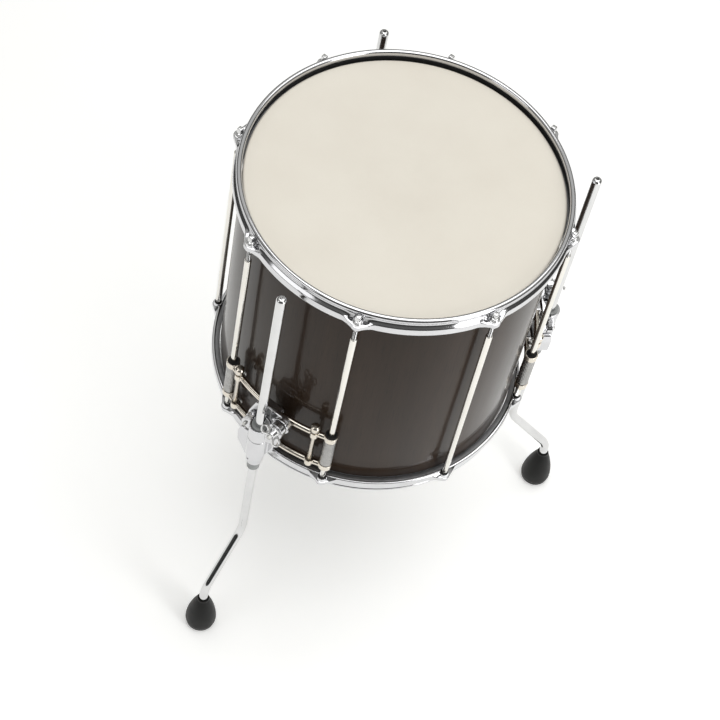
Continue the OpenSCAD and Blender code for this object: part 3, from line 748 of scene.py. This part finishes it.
def make_foot(i):
    """A moulded rubber foot: pear-shaped, with a hollow sole and a thin lip round the leg."""
    box_low, box_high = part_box(f"foot_{i}")
    centre = (box_low + box_high) / 2
    top, belly, mouth = box_high.z / MM, FOOT_BELLY_R, FOOT_MOUTH_R
    section = [(0, 1.6), (8.5, 1.6), (9.3, 1.2), (9.8, 0.0), (15.6, 0.0), (17.2, 0.5)]
    section += [(19.4, 2.0), (20.4, 3.6), (20.7, 5.0), (20.2, 5.6), (20.3, 6.4), (21.2, 7.4)]
    rows = 26
    for k in range(rows + 1):
        t = k / rows
        radius = belly - (belly - mouth) * t ** FOOT_FULLNESS
        section.append((radius, FOOT_BELLY_Z + (top - FOOT_LIP - FOOT_BELLY_Z) * t))
    section += [(mouth + 0.25, top - 1.8), (mouth + 0.35, top - 1.1), (mouth + 0.1, top - 0.3)]
    socket, depth = FOOT_SOCKET
    section += [(mouth - 0.5, top), (socket + 0.35, top - 0.2), (socket, top - 0.8)]
    section += [(socket, top - depth), (0, top - depth)]
    bm = bmesh.new()
    turn_into(bm, section, (centre.x, centre.y), 96, closed=False)
    mesh = tidy_mesh(bm, f"foot_{i}")
    foot = new_object(f"foot_{i}_rubber", mesh, MATERIALS["foot_rubber"], smooth_angle=50.0)
    show(foot, f"leg_{i}", "foot_rubber", f"foot_{i}")


# ---------------------------------------------------------------- castings and rails
# kind of node, its slot, voxel size in mm, rounds of smoothing, share of faces kept, body
CASTINGS = [
    ("bracket_body", "cast_chrome", 0.7, 5, 0.30, "drum"),
    ("clamp_jaw", "cast_chrome", 0.45, 5, 0.30, "clamp_jaw"),
    ("wing_nut", "chrome_trim", 0.30, 5, 0.35, "wing_nut"),
    ("upper_rail", "nickel_rail", 0.5, 4, 0.35, "drum"),
    ("lower_rail", "nickel_rail", 0.5, 4, 0.35, "drum"),
]


def make_castings():
    """Each kind is worked once, on leg 1, and turned round the drum's axis for the other legs."""
    for kind, slot, voxel, rounds, keep, body in CASTINGS:
        first = softened(f"{kind}_1", voxel, rounds, keep)
        for i in range(1, LEG_COUNT + 1):
            mesh = first.copy()
            mesh.transform(Matrix.Rotation(LEG_ANGLE[i - 1] - LEG_ANGLE[0], 4, "Z"))
            obj = new_object(f"{kind}_{i}_cast", mesh, MATERIALS[slot], smooth_angle=70.0)
            show(obj, "drum" if body == "drum" else f"{body}_{i}", slot, f"{kind}_{i}")


TUBE_FIT_R = 4.32  # bore of the pieces threaded on a tension tube


def make_grommets():
    """Rubber rings in the rails' eyelets: a waist inside the eyelet and a rounded lip at each face."""
    tube, eyelet, lip, half = TUBE_FIT_R, 6.4, 7.6, 4.7
    over = half + 1.2
    bm = bmesh.new()
    for level in ("upper", "lower"):
        for i in range(1, LEG_COUNT + 1):
            box_low, box_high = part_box(f"{level}_rail_{i}")
            middle = (box_low.z + box_high.z) / 2 / MM
            profile = [(tube, over - 0.2), (tube + 0.3, over), (lip - 0.5, over), (lip, over - 0.45)]
            profile += [(lip - 0.05, half + 0.05), (eyelet, half - 0.1)]
            section = profile + [(r, -h) for r, h in reversed(profile)]
            section = [(r, middle + h) for r, h in section]
            for side in (-1, 1):
                angle = LEG_ANGLE[i - 1] + side * math.pi / ROD_COUNT
                turn_into(bm, section, (ROD_R * math.cos(angle), ROD_R * math.sin(angle)), 40)
    mesh = tidy_mesh(bm, "rubber_grommets")
    grommets = new_object("rubber_grommets", mesh, MATERIALS["black_rubber"])
    show(grommets, "drum", "black_rubber", "rod_grommets")


def make_sleeves():
    """Spacer sleeves between the rails: finely fluted, with plain rounded ends."""
    tube, outer, flute, flutes = TUBE_FIT_R, 8.15, 0.28, 30
    z0, z1 = low("rod_sleeves").z / MM, high("rod_sleeves").z / MM
    levels = [(z0, -0.5, 0), (z0 + 0.5, 0, 0), (z0 + 3, 0, 0), (z0 + 3.6, 0, 1), (z1 - 3.6, 0, 1)]
    levels += [(z1 - 3, 0, 0), (z1 - 0.5, 0, 0), (z1, -0.5, 0)]
    steps = flutes * 6
    bm = bmesh.new()
    for leg_angle in LEG_ANGLE:
        for side in (-1, 1):
            angle = leg_angle + side * math.pi / ROD_COUNT
            x, y = ROD_R * math.cos(angle), ROD_R * math.sin(angle)
            rows = []
            for k in range(steps):
                turn = TAU * k / steps
                cut = flute * (0.5 - 0.5 * math.cos(flutes * turn))
                side_wall = [(outer + inset - cut * share, z) for z, inset, share in levels]
                column = [(tube, z0)] + side_wall + [(tube, z1)]
                c, s = math.cos(turn), math.sin(turn)
                rows.append([(x + r * MM * c, y + r * MM * s, z * MM) for r, z in column])
            skin(bm, rows)
    mesh = tidy_mesh(bm, "fluted_sleeves")
    sleeves = new_object("fluted_sleeves", mesh, MATERIALS["dark_sleeve"])
    show(sleeves, "drum", "chrome_tube", "rod_sleeves")


# ---------------------------------------------------------------- building
make_shell()
make_heads()
make_grommets()
make_sleeves()
make_hoop("batter")
make_hoop("resonant")
for number in range(1, ROD_COUNT + 1):
    make_rod(number)
for number in range(1, LEG_COUNT + 1):
    make_leg(number)
    make_foot(number)
make_castings()

# ---------------------------------------------------------------- CAD nodes that stay
EDGE_WIDTH = {"zinc_steel": 0.25, "chrome_trim": 0.2, "black_nylon": 0.35, "black_rubber": 0.25}


def dress_cad_nodes():
    """Gives every CAD node its material, and a fine bevel on the small parts."""
    for node, obj in NODES.items():
        obj.data.materials.clear()
        obj.data.materials.append(MATERIALS[SLOT_OF[node]])
        smooth_by_angle(obj, 30.0)
        width = EDGE_WIDTH.get(SLOT_OF[node], 0.3)
        weld = obj.modifiers.new("weld", "WELD")
        weld.merge_threshold = 1e-6
        bevel = obj.modifiers.new("bevel", "BEVEL")
        bevel.width = width * MM
        bevel.segments = 2
        bevel.limit_method = "ANGLE"
        bevel.angle_limit = math.radians(40)
        bevel.harden_normals = True


dress_cad_nodes()


# ---------------------------------------------------------------- camera, light and floor
PHOTO_EYE = Vector((0.731, -1.421, 2.743))
PHOTO_AZIMUTH = math.radians(43.8)
PHOTO_ELEVATION = math.radians(53.4)
CAMERA_AIM = Vector((0.012, -0.035, 0.395))
SENSOR_MM = 36.0
LENS_MM = 104.0


def make_camera():
    """The photographer's eye and tilt, turned the shortest way onto the drum, with a narrower field."""
    forward = Vector((
        -math.sin(PHOTO_AZIMUTH) * math.cos(PHOTO_ELEVATION),
        math.cos(PHOTO_AZIMUTH) * math.cos(PHOTO_ELEVATION),
        -math.sin(PHOTO_ELEVATION),
    ))
    right = forward.cross(Vector((0, 0, 1))).normalized()
    up = right.cross(forward)
    photo = Matrix((right, up, -forward)).transposed()
    turn = forward.rotation_difference((CAMERA_AIM - PHOTO_EYE).normalized()).to_matrix()
    data = bpy.data.cameras.new("camera")
    data.sensor_width = SENSOR_MM
    data.lens = LENS_MM
    camera = bpy.data.objects.new("camera", data)
    camera.matrix_world = Matrix.Translation(PHOTO_EYE) @ (turn @ photo).to_4x4()
    bpy.context.scene.collection.objects.link(camera)
    bpy.context.scene.camera = camera


def area_light(name, place, target, size, power, colour=(1.0, 1.0, 1.0)):
    data = bpy.data.lights.new(name, "AREA")
    data.shape = "RECTANGLE"
    data.size, data.size_y = size
    data.energy = power
    data.color = colour
    light = bpy.data.objects.new(name, data)
    light.location = place
    light.rotation_euler = (Vector(target) - Vector(place)).to_track_quat("-Z", "Y").to_euler()
    bpy.context.scene.collection.objects.link(light)


def make_world():
    """A plain studio: bright above, dim towards the horizon, and dimmer on the camera's side."""
    world = bpy.data.worlds.new("studio")
    world.use_nodes = True
    tree = world.node_tree
    background = next(n for n in tree.nodes if n.type == "BACKGROUND")
    coords = tree.nodes.new("ShaderNodeTexCoord")
    split = tree.nodes.new("ShaderNodeSeparateXYZ")
    tree.links.new(coords.outputs["Generated"], split.inputs[0])
    front = tree.nodes.new("ShaderNodeVectorMath")
    front.operation = "DOT_PRODUCT"
    front.inputs[1].default_value = PHOTO_EYE.normalized()
    tree.links.new(coords.outputs["Generated"], front.inputs[0])
    bands = [
        (split.outputs["Z"], [(0.0, 0.07), (0.30, 0.14), (0.52, 0.75), (1.0, 1.25)]),
        (front.outputs["Value"], [(0.0, 1.0), (0.45, 0.85), (0.80, 0.30), (1.0, 0.22)]),
    ]
    parts = []
    for source, stops in bands:
        ramp = tree.nodes.new("ShaderNodeValToRGB")
        tree.links.new(source, ramp.inputs["Fac"])
        while len(ramp.color_ramp.elements) < len(stops):
            ramp.color_ramp.elements.new(0.5)
        for element, (position, value) in zip(ramp.color_ramp.elements, stops):
            element.position = position
            element.color = (value, value, value * 0.985, 1.0)
        parts.append(ramp.outputs["Color"])
    product = tree.nodes.new("ShaderNodeVectorMath")
    product.operation = "MULTIPLY"
    tree.links.new(parts[0], product.inputs[0])
    tree.links.new(parts[1], product.inputs[1])
    tree.links.new(product.outputs["Vector"], background.inputs["Color"])
    background.inputs["Strength"].default_value = 0.70
    bpy.context.scene.world = world


def make_floor():
    n = Nodes("studio_floor")
    patch = n.noise(1.3, detail=3.0)
    material = n.finish(
        Base_Color=n.mix(n.spread(patch, 0.0, 1.0), (0.95, 0.95, 0.94, 1.0), (0.93, 0.93, 0.92, 1.0)),
        Roughness=0.55,
        Specular_IOR_Level=0.3,
        Emission_Color=(1.0, 1.0, 0.985, 1.0),
        Emission_Strength=0.30,
        Normal=n.bump(n.noise(300.0, detail=2.0), 0.02, 0.0002),
    )
    mesh = bpy.data.meshes.new("studio_floor")
    bm = bmesh.new()
    bmesh.ops.create_circle(bm, cap_ends=True, radius=9.0, segments=64)
    bm.to_mesh(mesh)
    bm.free()
    new_object("studio_floor", mesh, material)


make_camera()
make_world()
make_floor()
area_light("overhead", (0.3, 0.2, 3.6), (0, 0, 0.4), (3.2, 3.2), 74.0)
area_light("right_strip", (2.6, -0.4, 1.3), (0, 0, 0.55), (0.9, 2.2), 26.0)
area_light("front_fill", (-1.2, -3.0, 1.9), (0, 0, 0.5), (1.6, 1.6), 11.5)
bpy.context.scene.view_settings.view_transform = "Standard"
